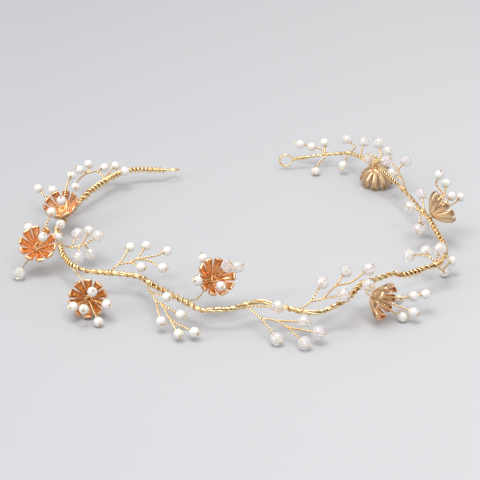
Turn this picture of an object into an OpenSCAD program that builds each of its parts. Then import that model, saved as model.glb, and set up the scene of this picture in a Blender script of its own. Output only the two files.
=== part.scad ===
// Wire hair vine: a wound stem bent into an open ring, with stamped cup flowers,
// round pearls and cut clear beads on wire sprigs. It lies on a table, +Z up, and
// the origin is on the table under the middle. Its left end, front and right end
// follow one another along the stem.

/* [Stem] */
// Thickness of the wound stem at the front
stem_d = 2.2; // [1.8:0.1:2.4]
// Gap left between pieces that are wound together
seat_gap = 0.15; // [0.1:0.01:0.2]

/* [End loops] */
// Thickness of the wire of the end loops
loop_wire_d = 1; // [0.8:0.1:1.2]
// Inside diameter of the end loops
loop_bore_d = 4.6; // [4:0.1:5]

/* [Sprigs] */
// Thickness of a sprig's twisted wire
twig_d = 0.6; // [0.4:0.1:0.7]
// Diameter of the drilled hole in the pearls and cut beads
hole_d = 0.95; // [0.9:0.05:1.1]

/* [Pearls] */
// Diameter of a pearl
pearl_d = 4; // [3:0.1:4]

/* [Cut beads] */
// Width of a cut bead across its belt
cut_bead_d = 5.4; // [4:0.1:5.4]
// Length of a cut bead along its hole
cut_bead_l = 4.8; // [4:0.1:5]
// Number of facets round the belt
cut_bead_sides = 8; // [8:2:12]

/* [Flowers] */
// Diameter of a flower across its rim
flower_d = 15.4; // [14:0.1:16]
// Height of a flower's cup
flower_h = 6; // [5:0.1:7]
// Number of petals
petals = 10; // [8:1:12]
// Width of a petal at its widest
petal_w = 3.3; // [2.6:0.1:3.4]
// Thickness of the stamped sheet
sheet_t = 0.45; // [0.4:0.01:0.5]
// Diameter of the hole in the middle of a flower
flower_hole_d = 1.6; // [1.5:0.1:2]
// Thickness of the wire through the middle of a flower
flower_stem_d = 1; // [0.8:0.1:1]

/* [Hidden] */
// The middle of the whole piece in the tables below
MIDDLE = [1.5, -6.1, 0];
GOLD = "goldenrod";
COPPER = "peru";
PEARL = "ivory";
CLEAR = "lightcyan";
stem_sides = 8;
rings_per_bend = 2;
// Part of a bend over which the way of the stem is taken
way_step = 0.05;
// How far a drill runs past what it cuts
drill_past = 0.5;

// Bends of the stem from the left end round the front to the right end.
// The columns are X, Y, Z and the thickness there as a share of stem_d.
BENDS = [
    [-34, 63, 5.5, 0.7],
    [-47.5, 61, 6.5, 0.85],
    [-54, 56, 7, 0.92],
    [-61, 45, 7, 0.95],
    [-66, 36, 6.5, 0.95],
    [-68.5, 31, 5.5, 0.95],
    [-72, 26.5, 3.5, 0.95],
    [-76, 13.5, 3.5, 0.95],
    [-77, -3, 6, 0.95],
    [-74, -25, 9, 1],
    [-71, -37.5, 9.5, 1],
    [-67, -45, 9.5, 1],
    [-61, -48.5, 9, 1],
    [-54, -50, 9, 1],
    [-40.5, -53.5, 9, 1],
    [-35, -60.5, 9, 1],
    [-24, -73, 9, 1],
    [-19.5, -78, 9, 1],
    [-14.5, -82, 8.5, 1],
    [-8.5, -82, 8.5, 1],
    [-2, -81.5, 9, 1],
    [6, -76.5, 9, 1],
    [11.5, -77, 9, 1],
    [18.5, -81.5, 9, 1],
    [28, -84.5, 8.5, 1],
    [34, -82.5, 9, 1],
    [38.5, -80, 10, 1],
    [43, -75, 11, 1],
    [48, -66.5, 12, 1],
    [54.5, -62, 12, 1],
    [60.5, -56.5, 11.5, 1],
    [65.5, -55.5, 10.5, 1],
    [71, -52, 10.5, 1],
    [75, -49, 10.5, 1],
    [79.5, -46.5, 11, 0.95],
    [82.5, -42, 12, 0.9],
    [83.5, -31.5, 12, 0.9],
    [81, -14, 12, 0.9],
    [79.5, -4, 12, 0.9],
    [77, 6.5, 11, 0.85],
    [73.5, 23.5, 10, 0.85],
    [69.5, 33.5, 11, 0.85],
    [63, 44, 13, 0.8],
    [58, 54.5, 12.5, 0.8],
    [55, 67, 10, 0.75],
    [50, 76, 8.5, 0.7],
    [45, 80, 6.5, 0.65],
    [37.5, 79.5, 6, 0.6],
    [24.5, 77, 5, 0.55],
];

// Middles of the end loops. The left one lies, tilted back by LEFT_LOOP_TILT
// degrees, and the right one stands.
LEFT_LOOP = [-30.6, 64.6, 5];
LEFT_LOOP_TILT = 18;
RIGHT_LOOP = [20.9, 76.6, 4.5];
// How deep the inside of a loop's wire is worn
loop_wear = 0.1;

// Collars that hold a bead, swelling of the wire at a bend, and how far a flower's
// wire runs straight on both sides of its hole
collar_r = 0.5;
knot_swell = 1.15;
flower_reach = 1.5;

// What a knot of a sprig carries
BARE = 0;
ROUND = 1;
CUT = 2;

// Sprigs. Each has the bend of the stem it grows from, then its knots. A knot's
// columns are the knot it comes from (0 is the stem), X, Y, Z and what it carries.
SPRIG_1 = [2.7, [
    [0, -64, 53.5, 9, BARE],
    [1, -68, 51.5, 9, BARE],
    [2, -71.5, 43.5, 9, BARE],
    [2, -68, 57, 11, ROUND],
    [2, -71.4, 50.5, 11, ROUND],
    [3, -72, 33.5, 10, ROUND],
    [1, -61, 57.5, 9, ROUND],
    [0, -56, 58.5, 9.5, ROUND],
    [0, -55.5, 50.5, 9, BARE],
    [9, -51.5, 53.5, 9, ROUND],
]];
SPRIG_2 = [6, [
    [0, -79.5, 28, 8, BARE],
    [1, -85, 26, 9, BARE],
    [1, -81.8, 30, 10, ROUND],
    [2, -88, 29.5, 11, ROUND],
]];
SPRIG_3 = [9, [
    [0, -69, -29, 10, BARE],
    [1, -65.5, -27.5, 10, BARE],
    [2, -63.5, -25.5, 10, BARE],
    [1, -67, -22, 13, CUT],
    [2, -62.5, -17, 12, CUT],
    [3, -58.5, -22, 12, CUT],
    [2, -66, -32.5, 7.4, CUT],
    [3, -62, -25.5, 5.6, CUT],
]];
SPRIG_4 = [13.2, [
    [0, -49, -47.5, 11, BARE],
    [1, -44.4, -37, 14, ROUND],
    [1, -43.5, -46.5, 12, BARE],
    [3, -41.5, -44, 12, BARE],
    [4, -38, -36.5, 14.5, ROUND],
    [4, -33.5, -40.5, 12, BARE],
    [6, -29.6, -36.5, 12, ROUND],
    [4, -36.5, -43.5, 11, BARE],
    [8, -31, -48, 10, ROUND],
    [3, -39.5, -50.5, 11.5, ROUND],
]];
SPRIG_5 = [14.9, [
    [0, -35.5, -66, 8.5, BARE],
    [1, -33, -72.5, 8, BARE],
    [2, -32, -76.5, 6.5, BARE],
    [3, -30.5, -84, 4.5, ROUND],
    [2, -30.5, -75, 7.5, BARE],
    [5, -27, -83, 5, BARE],
    [6, -23.5, -91.5, 3, ROUND],
    [6, -17.5, -91, 3.5, ROUND],
    [5, -23, -81.5, 6, ROUND],
    [1, -28.5, -74, 10, ROUND],
]];
SPRIG_6 = [20.5, [
    [0, 8, -87, 7.5, BARE],
    [1, 14, -95, 2.8, CUT],
    [1, 14, -88, 7, BARE],
    [3, 18, -91.5, 6, BARE],
    [4, 24.5, -98.5, 2.8, CUT],
    [4, 30, -93.5, 4.5, CUT],
    [3, 24.5, -87.5, 6, CUT],
    [0, 14.5, -83.5, 10.5, CUT],
]];
SPRIG_7 = [23.5, [
    [0, 27.5, -78.5, 10.5, BARE],
    [1, 32, -73.5, 16, CUT],
    [1, 32, -77.5, 11, BARE],
    [3, 35, -74, 12.5, BARE],
    [4, 37.5, -71.5, 14, BARE],
    [5, 41.5, -65.5, 17, CUT],
    [5, 43, -70.5, 14.5, BARE],
    [7, 50.5, -64.5, 17.5, CUT],
    [3, 40, -81, 14.5, CUT],
]];
SPRIG_8 = [34, [
    [0, 81.5, -43, 6.5, BARE],
    [1, 83.5, -35.5, 2, ROUND],
    [1, 86.5, -34, 6.5, ROUND],
    [0, 80.5, -43.5, 16.5, CUT],
    [0, 76, -42, 12.5, BARE],
    [5, 75.5, -36.5, 12, CUT],
    [5, 69, -34, 9, CUT],
]];
SPRIG_9 = [38.8, [
    [0, 76, -1, 8.5, BARE],
    [1, 74.5, -9, 9, CUT],
    [1, 78.5, 3, 5, CUT],
    [0, 78, 13, 15.5, CUT],
    [0, 72, 3, 14, CUT],
]];
SPRIG_10 = [40.6, [
    [0, 71.5, 40, 11, BARE],
    [1, 70, 48, 12, BARE],
    [2, 67.5, 52.5, 14, BARE],
    [2, 74, 53, 14, CUT],
    [3, 66, 60, 16, CUT],
    [1, 67.5, 44, 12, CUT],
]];
SPRIG_11 = [46.8, [
    [0, 37, 82.5, 8, BARE],
    [1, 33, 83.5, 8.5, ROUND],
    [2, 27.8, 84.8, 9.2, ROUND],
    [0, 39, 85, 10, ROUND],
    [0, 36, 74, 4, BARE],
    [5, 34.5, 70, 2, ROUND],
]];
SPRIG_12 = [45, [
    [0, 47, 71, 4.5, ROUND],
    [0, 53, 81, 9.5, BARE],
    [2, 49.5, 86, 11, CUT],
]];

// Flowers. The columns are the X, Y, Z of the hole at the foot of the cup, the
// heading and the rise of the way the cup faces, and its turn about that way.
FLOWER_1 = [-75.4, 12, 6.8, -115, 66, 10];
FLOWER_2 = [-83, -27.5, 9, -84, 43, 4];
FLOWER_3 = [-59.5, -65.5, 5.2, -90, 25, 0];
FLOWER_4 = [-11, -63.5, 12, -68, 38, 12];
FLOWER_5 = [51.5, -72.5, 9.5, -33, -8, 6];
FLOWER_6 = [80.6, -6, 14.3, 27, 26, 16];
FLOWER_7 = [61.3, 56.5, 9.3, 75, -68, 0];

// The wire of each flower, with knots as above. Knots 1 and 2 are behind and in
// front of the flower's hole, so the rows here start at knot 3.
REST_1 = [6.9, [], [
    [2, -75, 13, 15, BARE],
    [3, -74, 19.5, 18, BARE],
    [4, -73, 26.3, 18.5, ROUND],
    [2, -76, 7.5, 15, ROUND],
    [0, -74.3, 4, 6.2, BARE],
    [7, -75.4, -5.9, 10, ROUND],
]];
REST_2 = [8.8, [], [
    [2, -80, -33.5, 17, ROUND],
    [2, -81.5, -30, 15.5, BARE],
    [4, -78.5, -26.5, 21, BARE],
    [5, -77.5, -20, 22, ROUND],
    [1, -87, -22.5, 16, ROUND],
    [1, -75, -25, 12.8, ROUND],
    [1, -87.5, -31, 4.5, BARE],
    [9, -90, -38, 2.8, CUT],
]];
REST_3 = [11.2, [[-63, -54, 8]], [
    [2, -57.5, -73.5, 12, ROUND],
    [2, -60.5, -79.5, 7.5, ROUND],
    [2, -65, -75.5, 6.5, ROUND],
    [2, -52, -74.5, 7, ROUND],
    [2, -55, -79.5, 2, ROUND],
]];
REST_4 = [16.6, [[-16.5, -72, 8.5]], [
    [2, -16.5, -75, 17.5, ROUND],
    [2, -7.5, -71.5, 13.5, ROUND],
    [2, -4.8, -70, 21.6, CUT],
    [1, -14.5, -59, 19.5, ROUND],
    [1, -1, -60, 16, CUT],
]];
REST_5 = [28, [[49, -70, 11]], [
    [2, 58.5, -72, 9, BARE],
    [3, 64, -71, 8, BARE],
    [4, 68, -69.5, 8, ROUND],
    [5, 73, -67.6, 8, ROUND],
    [2, 64, -75, 5.5, BARE],
    [7, 67.5, -76.5, 4.5, ROUND],
    [2, 60, -74.5, 3.5, BARE],
    [9, 63.5, -75.5, 2, ROUND],
    [4, 62.5, -67.5, 5.5, ROUND],
    [0, 50, -74, 15, CUT],
]];
REST_6 = [38, [], [
    [2, 86.5, 3.5, 19.5, BARE],
    [3, 83, 7, 23, BARE],
    [4, 84, 5, 28, ROUND],
    [3, 87.5, 9.5, 22, ROUND],
    [2, 89.5, 4, 18.5, ROUND],
    [2, 91, 2, 16.5, BARE],
    [8, 93.5, 6.5, 17, ROUND],
]];
REST_7 = [42.6, [], [
    [0, 57.6, 49, 17, CUT],
    [0, 63, 54.5, 16, BARE],
    [4, 62, 61, 19.5, CUT],
    [0, 54.5, 58, 15, BARE],
    [6, 56, 67, 17.5, CUT],
    [0, 65, 47.5, 17, CUT],
]];

// Point on a smooth curve between b and c, a share t of the way
function blend(a, b, c, d, t) =
    0.5 * (2 * b + (c - a) * t + (2 * a - 5 * b + 4 * c - d) * t * t
    + (3 * b - a - 3 * c + d) * t * t * t);

function bend(i) = BENDS[min(max(i, 0), len(BENDS) - 1)];

// X, Y, Z and thickness of the stem at a bend, or between two
function stem_at(s) =
    let (i = floor(s))
    blend(bend(i - 1), bend(i), bend(i + 1), bend(i + 2), s - i);

function place(row) = [row[0], row[1], row[2]];
function unit(v) = v / norm(v);
function stem_way(s) =
    let (before = max(s - way_step, 0))
    let (after = min(s + way_step, len(BENDS) - 1))
    unit(place(stem_at(after)) - place(stem_at(before)));

// Way a flower faces
function facing(flower) = [
    cos(flower[4]) * cos(flower[3]),
    cos(flower[4]) * sin(flower[3]),
    sin(flower[4]),
];

// Columns of a knot
function comes_from(knot) = knot[0];
function knot_place(knot) = [knot[1], knot[2], knot[3]];
function carries(knot) = knot[4];
function wire_r(knot) = len(knot) > 5 ? knot[5] : twig_d / 2;

// Half the length of what a knot carries, and the distance to the collar past it
function half_length(knot) = carries(knot) == ROUND ? pearl_d / 2 : cut_bead_l / 2;
function collar_away(knot) = half_length(knot) + seat_gap + collar_r;

// Start of a wire beside the stem at bend s, on the side of its first knot
function beside_stem(s, knot) =
    let (middle = place(stem_at(s)))
    let (way = knot_place(knot) - middle)
    let (across = unit(way - (way * stem_way(s)) * stem_way(s)))
    middle + across * (stem_at(s)[3] * stem_d / 2 + seat_gap + wire_r(knot) * knot_swell);

// Where the wire to knot k begins
function wire_start(s, knots, k) =
    let (from = comes_from(knots[k]))
    from == 0 ? beside_stem(s, knots[k])
    : carries(knots[from - 1]) == BARE ? knot_place(knots[from - 1])
    : wire_end(s, knots, from - 1);

// Way of the wire at knot k, and where it ends
function wire_way(s, knots, k) = unit(knot_place(knots[k]) - wire_start(s, knots, k));
function wire_end(s, knots, k) =
    carries(knots[k]) == BARE ? knot_place(knots[k])
    : knot_place(knots[k]) + wire_way(s, knots, k) * collar_away(knots[k]);

// Knots of a flower's wire: behind the hole, in front of it, the rest, and the way
// there from the stem if it has a bend
function flower_knots(flower, rest) =
    let (r = flower_stem_d / 2)
    let (reach = facing(flower) * flower_reach)
    concat(
        [concat([len(rest[1]) > 0 ? len(rest[2]) + 3 : 0], place(flower) - reach, [BARE, r])],
        [concat([1], place(flower) + reach, [BARE, r])],
        rest[2],
        [for (via = rest[1]) concat([0], via, [BARE, r])]
    );

module turned_to(way) {
    rotate([0, acos(way[2]), atan2(way[1], way[0])]) children();
}

// Puts everything over the origin
module laid_down() {
    translate(-MIDDLE) children();
}

module knot_ball(away, r) {
    translate([0, 0, away]) sphere(r = r, $fn = 24);
}

// Wires with a round knot at each bend and a collar on both sides of each bead
module wires(s, knots) {
    for (k = [0:len(knots) - 1]) {
        knot = knots[k];
        from = wire_start(s, knots, k);
        length = norm(wire_end(s, knots, k) - from);
        translate(from) turned_to(wire_way(s, knots, k)) {
            cylinder(h = length, r = wire_r(knot), $fn = 24);
            if (comes_from(knot) == 0) knot_ball(0, wire_r(knot) * knot_swell);
            if (carries(knot) == BARE) {
                knot_ball(length, wire_r(knot) * knot_swell);
            } else {
                knot_ball(length, collar_r);
                knot_ball(length - 2 * collar_away(knot), collar_r);
            }
        }
    }
}

// Every bead of one kind on a set of knots
module beads(s, knots, kind) {
    for (k = [0:len(knots) - 1])
        if (carries(knots[k]) == kind)
            translate(knot_place(knots[k])) turned_to(wire_way(s, knots, k)) children();
}

module pearl() {
    difference() {
        sphere(d = pearl_d, $fn = 48);
        cylinder(h = pearl_d + 2 * drill_past, d = hole_d, center = true, $fn = 24);
    }
}

// Faceted bead with a flat table round each mouth of its hole
module cut_bead() {
    n = cut_bead_sides;
    step = 360 / n;
    half = cut_bead_l / 2;
    bore_r = hole_d / 2 / cos(step / 2);
    table_r = cut_bead_d * 0.25;
    shoulder_r = cut_bead_d * 0.43;
    // Height, radius and turn of each ring, from the foot of the bore round to its top
    rings = [
        [-half, bore_r, 0],
        [-half, table_r, 0],
        [-half / 2, shoulder_r, step / 2],
        [0, cut_bead_d / 2, 0],
        [half / 2, shoulder_r, step / 2],
        [half, table_r, 0],
        [half, bore_r, 0],
    ];
    points = [
        for (ring = rings)
            for (j = [0:n - 1])
                [ring[1] * cos(j * step + ring[2]), ring[1] * sin(j * step + ring[2]), ring[0]]
    ];
    last = len(rings) - 1;
    faces = [
        for (k = [0:last])
            let (low = k * n)
            let (high = (k < last ? k + 1 : 0) * n)
            let (lead = k < last && rings[k][2] > rings[k + 1][2])
            for (j = [0:n - 1])
                let (i = (j + 1) % n)
                for (half_face = lead
                    ? [[low + j, high + j, high + i], [low + j, high + i, low + i]]
                    : [[low + j, high + j, low + i], [low + i, high + j, high + i]])
                    half_face
    ];
    polyhedron(points, faces);
}

// Stamped cup with a hole at its foot. Narrow petals, each a trough, rise from a
// plain ring, with open slots between them.
module flower() {
    step = 360 / petals;
    r = flower_d / 2;
    // Radius, height and width of the sheet, and rise of the petal's sides
    rows = [
        [flower_hole_d / 2, 0, 0, 0],
        [r * 0.26, flower_h * 0.08, 0, 0],
        [r * 0.64, flower_h * 0.38, petal_w * 0.82, 0.7],
        [r * 0.92, flower_h * 0.75, petal_w, 0.8],
        [r, flower_h, petal_w * 0.66, 0.5],
    ];
    // Places across the sheet as shares of its width, and which of them rise
    across = [-0.5, -0.28, 0.28, 0.5];
    lift = [1, 0, 0, 1];
    ring = 3 * petals;
    points = [
        for (i = [0:1])
            for (side = [0, 1])
                for (j = [0:ring - 1])
                    let (a = (j / 3 - 0.5) * step)
                    let (inner = inner_way(rows, i) * side * sheet_t)
                    let (out = rows[i][0] - inner[0])
                    [out * cos(a), out * sin(a), rows[i][1] - inner[1]],
        for (p = [0:petals - 1])
            for (side = [0, 1])
                for (i = [2:4])
                    for (c = [0:3])
                        let (inner = inner_way(rows, i) * (lift[c] * rows[i][3] - side * sheet_t))
                        let (out = rows[i][0] + inner[0])
                        let (wide = rows[i][2] * across[c])
                        [
                            out * cos(p * step) - wide * sin(p * step),
                            out * sin(p * step) + wide * cos(p * step),
                            rows[i][1] + inner[1],
                        ],
    ];
    faces = [
        for (p = [0:petals - 1])
            for (c = [0:2]) each concat(
                [for (i = [0:3]) reversed(sheet_face(i, 0, p, c))],
                [for (i = [0:3]) sheet_face(i, 1, p, c)],
                [edge_face([0, p, c], [0, p, c + 1]), edge_face([4, p, c + 1], [4, p, c])]
            ),
        for (p = [0:petals - 1])
            for (i = [1:3]) each [
                edge_face([i + 1, p, 0], [i, p, 0]),
                edge_face([i, p, 3], [i + 1, p, 3])
            ],
    ];
    polyhedron(points, faces);
}

// Way across the sheet towards the inside of the cup, as a radius and a height
function inner_way(rows, i) =
    let (a = rows[max(i - 1, 0)])
    let (b = rows[min(i + 1, len(rows) - 1)])
    let (along = unit([b[0] - a[0], b[1] - a[1]]))
    [-along[1], along[0]];

// Number of the sheet's point in row i, on side 0 inside or 1 outside, of petal p
// and column c. The first two rows are shared by neighbouring petals.
function sheet_point(i, side, p, c) =
    i < 2 ? (i * 2 + side) * 3 * petals + (3 * p + c) % (3 * petals)
    : 12 * petals + p * 24 + side * 12 + (i - 2) * 4 + c;

function sheet_face(i, side, p, c) = [
    sheet_point(i, side, p, c),
    sheet_point(i + 1, side, p, c),
    sheet_point(i + 1, side, p, c + 1),
    sheet_point(i, side, p, c + 1),
];

// Face through the sheet's thickness between two of its points
function edge_face(a, b) = [
    sheet_point(a[0], 0, a[1], a[2]),
    sheet_point(a[0], 1, a[1], a[2]),
    sheet_point(b[0], 1, b[1], b[2]),
    sheet_point(b[0], 0, b[1], b[2]),
];

function reversed(v) = [for (i = [len(v) - 1:-1:0]) v[i]];

module flower_at(row) {
    laid_down() translate(place(row)) turned_to(facing(row)) rotate([0, 0, row[5]]) flower();
}

module flower_wires(row, rest) {
    laid_down() wires(rest[0], flower_knots(row, rest));
}

module flower_pearls(row, rest) {
    laid_down() beads(rest[0], flower_knots(row, rest), ROUND) pearl();
}

module flower_cut_beads(row, rest) {
    laid_down() beads(rest[0], flower_knots(row, rest), CUT) cut_bead();
}

module sprig_wires(sprig) {
    laid_down() wires(sprig[0], sprig[1]);
}

module sprig_pearls(sprig) {
    laid_down() beads(sprig[0], sprig[1], ROUND) pearl();
}

module sprig_cut_beads(sprig) {
    laid_down() beads(sprig[0], sprig[1], CUT) cut_bead();
}

// Round wire ring whose inside is worn to a narrow straight band
module end_loop() {
    r = loop_wire_d / 2;
    difference() {
        rotate_extrude($fn = 64)
            translate([loop_bore_d / 2 - loop_wear + r, 0])
                circle(r = r, $fn = 32);
        cylinder(h = loop_wire_d + 2 * drill_past, d = loop_bore_d, center = true, $fn = 64);
    }
}

// The stem, as a tube swept along its bends
module vine_stem() color(GOLD) {
    rings = (len(BENDS) - 1) * rings_per_bend;
    points = [
        for (k = [0:rings])
            let (s = k / rings_per_bend)
            let (way = stem_way(s))
            let (side = unit(cross(way, [0, 0, 1])))
            let (up = cross(side, way))
            for (j = [0:stem_sides - 1])
                let (a = 360 * (j + 0.5) / stem_sides)
                place(stem_at(s)) + stem_at(s)[3] * stem_d / 2 * (side * cos(a) + up * sin(a))
    ];
    walls = [
        for (k = [0:rings - 1])
            for (j = [0:stem_sides - 1])
                let (n = (j + 1) % stem_sides)
                let (low = k * stem_sides)
                [low + j, low + n, low + stem_sides + n, low + stem_sides + j]
    ];
    ends = [
        [for (j = [stem_sides - 1:-1:0]) j],
        [for (j = [0:stem_sides - 1]) rings * stem_sides + j],
    ];
    laid_down() polyhedron(points, concat(walls, ends));
}

module end_loop_left() color(GOLD)
    laid_down() translate(LEFT_LOOP) rotate([-LEFT_LOOP_TILT, 0, 0]) end_loop();

module end_loop_right() color(GOLD)
    laid_down() translate(RIGHT_LOOP) rotate([90, 0, 0]) end_loop();

module flower_1() color(COPPER) flower_at(FLOWER_1);
module flower_2() color(COPPER) flower_at(FLOWER_2);
module flower_3() color(COPPER) flower_at(FLOWER_3);
module flower_4() color(COPPER) flower_at(FLOWER_4);
module flower_5() color(COPPER) flower_at(FLOWER_5);
module flower_6() color(COPPER) flower_at(FLOWER_6);
module flower_7() color(COPPER) flower_at(FLOWER_7);

module flower_1_wire() color(GOLD) flower_wires(FLOWER_1, REST_1);
module flower_2_wire() color(GOLD) flower_wires(FLOWER_2, REST_2);
module flower_3_wire() color(GOLD) flower_wires(FLOWER_3, REST_3);
module flower_4_wire() color(GOLD) flower_wires(FLOWER_4, REST_4);
module flower_5_wire() color(GOLD) flower_wires(FLOWER_5, REST_5);
module flower_6_wire() color(GOLD) flower_wires(FLOWER_6, REST_6);
module flower_7_wire() color(GOLD) flower_wires(FLOWER_7, REST_7);

module flower_1_pearls() color(PEARL) flower_pearls(FLOWER_1, REST_1);
module flower_2_pearls() color(PEARL) flower_pearls(FLOWER_2, REST_2);
module flower_3_pearls() color(PEARL) flower_pearls(FLOWER_3, REST_3);
module flower_4_pearls() color(PEARL) flower_pearls(FLOWER_4, REST_4);
module flower_5_pearls() color(PEARL) flower_pearls(FLOWER_5, REST_5);
module flower_6_pearls() color(PEARL) flower_pearls(FLOWER_6, REST_6);

module flower_2_cut_beads() color(CLEAR) flower_cut_beads(FLOWER_2, REST_2);
module flower_4_cut_beads() color(CLEAR) flower_cut_beads(FLOWER_4, REST_4);
module flower_5_cut_beads() color(CLEAR) flower_cut_beads(FLOWER_5, REST_5);
module flower_7_cut_beads() color(CLEAR) flower_cut_beads(FLOWER_7, REST_7);

module sprig_1_wire() color(GOLD) sprig_wires(SPRIG_1);
module sprig_2_wire() color(GOLD) sprig_wires(SPRIG_2);
module sprig_3_wire() color(GOLD) sprig_wires(SPRIG_3);
module sprig_4_wire() color(GOLD) sprig_wires(SPRIG_4);
module sprig_5_wire() color(GOLD) sprig_wires(SPRIG_5);
module sprig_6_wire() color(GOLD) sprig_wires(SPRIG_6);
module sprig_7_wire() color(GOLD) sprig_wires(SPRIG_7);
module sprig_8_wire() color(GOLD) sprig_wires(SPRIG_8);
module sprig_9_wire() color(GOLD) sprig_wires(SPRIG_9);
module sprig_10_wire() color(GOLD) sprig_wires(SPRIG_10);
module sprig_11_wire() color(GOLD) sprig_wires(SPRIG_11);
module sprig_12_wire() color(GOLD) sprig_wires(SPRIG_12);

module sprig_1_pearls() color(PEARL) sprig_pearls(SPRIG_1);
module sprig_2_pearls() color(PEARL) sprig_pearls(SPRIG_2);
module sprig_4_pearls() color(PEARL) sprig_pearls(SPRIG_4);
module sprig_5_pearls() color(PEARL) sprig_pearls(SPRIG_5);
module sprig_8_pearls() color(PEARL) sprig_pearls(SPRIG_8);
module sprig_11_pearls() color(PEARL) sprig_pearls(SPRIG_11);
module sprig_12_pearls() color(PEARL) sprig_pearls(SPRIG_12);

module sprig_3_cut_beads() color(CLEAR) sprig_cut_beads(SPRIG_3);
module sprig_6_cut_beads() color(CLEAR) sprig_cut_beads(SPRIG_6);
module sprig_7_cut_beads() color(CLEAR) sprig_cut_beads(SPRIG_7);
module sprig_8_cut_beads() color(CLEAR) sprig_cut_beads(SPRIG_8);
module sprig_9_cut_beads() color(CLEAR) sprig_cut_beads(SPRIG_9);
module sprig_10_cut_beads() color(CLEAR) sprig_cut_beads(SPRIG_10);
module sprig_12_cut_beads() color(CLEAR) sprig_cut_beads(SPRIG_12);

vine_stem();
end_loop_left();
end_loop_right();
flower_1();
flower_2();
flower_3();
flower_4();
flower_5();
flower_6();
flower_7();
flower_1_wire();
flower_2_wire();
flower_3_wire();
flower_4_wire();
flower_5_wire();
flower_6_wire();
flower_7_wire();
flower_1_pearls();
flower_2_pearls();
flower_3_pearls();
flower_4_pearls();
flower_5_pearls();
flower_6_pearls();
flower_2_cut_beads();
flower_4_cut_beads();
flower_5_cut_beads();
flower_7_cut_beads();
sprig_1_wire();
sprig_2_wire();
sprig_3_wire();
sprig_4_wire();
sprig_5_wire();
sprig_6_wire();
sprig_7_wire();
sprig_8_wire();
sprig_9_wire();
sprig_10_wire();
sprig_11_wire();
sprig_12_wire();
sprig_1_pearls();
sprig_2_pearls();
sprig_4_pearls();
sprig_5_pearls();
sprig_8_pearls();
sprig_11_pearls();
sprig_12_pearls();
sprig_3_cut_beads();
sprig_6_cut_beads();
sprig_7_cut_beads();
sprig_8_cut_beads();
sprig_9_cut_beads();
sprig_10_cut_beads();
sprig_12_cut_beads();
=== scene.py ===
from bisect import bisect
from math import acos, atan2, ceil, cos, exp, floor, pi, radians, sin, tan, tau
from random import Random

import bmesh
import bpy
from mathutils import Matrix, Vector
from mathutils.kdtree import KDTree


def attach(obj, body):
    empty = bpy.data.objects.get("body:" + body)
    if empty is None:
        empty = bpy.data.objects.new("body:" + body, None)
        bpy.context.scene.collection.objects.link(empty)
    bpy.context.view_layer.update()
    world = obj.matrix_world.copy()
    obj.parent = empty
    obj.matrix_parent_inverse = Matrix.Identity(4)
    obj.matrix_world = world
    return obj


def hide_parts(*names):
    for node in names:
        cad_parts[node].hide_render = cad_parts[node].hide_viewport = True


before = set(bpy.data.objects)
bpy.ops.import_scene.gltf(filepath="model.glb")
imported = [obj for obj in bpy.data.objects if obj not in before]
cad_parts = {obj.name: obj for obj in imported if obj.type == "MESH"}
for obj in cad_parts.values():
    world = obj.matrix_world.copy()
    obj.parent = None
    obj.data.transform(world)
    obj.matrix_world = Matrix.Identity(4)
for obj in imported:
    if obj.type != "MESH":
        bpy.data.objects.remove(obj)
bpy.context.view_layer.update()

# Camera. A long lens a little above the table looks down at 25 degrees at the
# middle of the vine.
table_middle = Vector((-0.0015, 0.0061, 0))
camera_away, camera_height = 0.85, radians(25)
camera = bpy.data.objects.new("camera", bpy.data.cameras.new("camera"))
camera.data.lens = 150
camera.data.sensor_width = 36
camera.data.clip_start = 0.01
camera.location = table_middle + Vector((0, -cos(camera_height), sin(camera_height))) * camera_away
camera.rotation_euler = (pi / 2 - camera_height, 0, 0)
bpy.context.scene.collection.objects.link(camera)
bpy.context.scene.camera = camera

# Table and studio. A pale matte table with painted shade, a little darker at the left, under a broad soft
# light, with a dimmer room low all round, which the gold mirrors as its dark tones.
table_mesh = bpy.data.meshes.new("table")
table_top = bmesh.new()
bmesh.ops.create_grid(table_top, x_segments=1, y_segments=1, size=4)
table_top.to_mesh(table_mesh)
table_top.free()
table = bpy.data.objects.new("table", table_mesh)
bpy.context.scene.collection.objects.link(table)
table_paint = bpy.data.materials.new("table_paint")
table_paint.use_nodes = True
shader = table_paint.node_tree.nodes["Principled BSDF"]
shader.inputs["Roughness"].default_value = 0.6
shader.inputs["Specular IOR Level"].default_value = 0.2
spot = table_paint.node_tree.nodes.new("ShaderNodeTexCoord")
across = table_paint.node_tree.nodes.new("ShaderNodeSeparateXYZ")
tones = table_paint.node_tree.nodes.new("ShaderNodeValToRGB")
reach = table_paint.node_tree.nodes.new("ShaderNodeMapRange")
reach.inputs["From Min"].default_value = -0.11
reach.inputs["From Max"].default_value = 0.11
# Painted shade: the table's colour darkens towards the left.
tones.color_ramp.elements[0].color = (0.505, 0.507, 0.522, 1)
tones.color_ramp.elements[1].color = (0.575, 0.577, 0.590, 1)
table_paint.node_tree.links.new(spot.outputs["Object"], across.inputs[0])
table_paint.node_tree.links.new(across.outputs["X"], reach.inputs["Value"])
table_paint.node_tree.links.new(reach.outputs["Result"], tones.inputs["Fac"])
table_paint.node_tree.links.new(tones.outputs["Color"], shader.inputs["Base Color"])
table_mesh.materials.append(table_paint)

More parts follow.
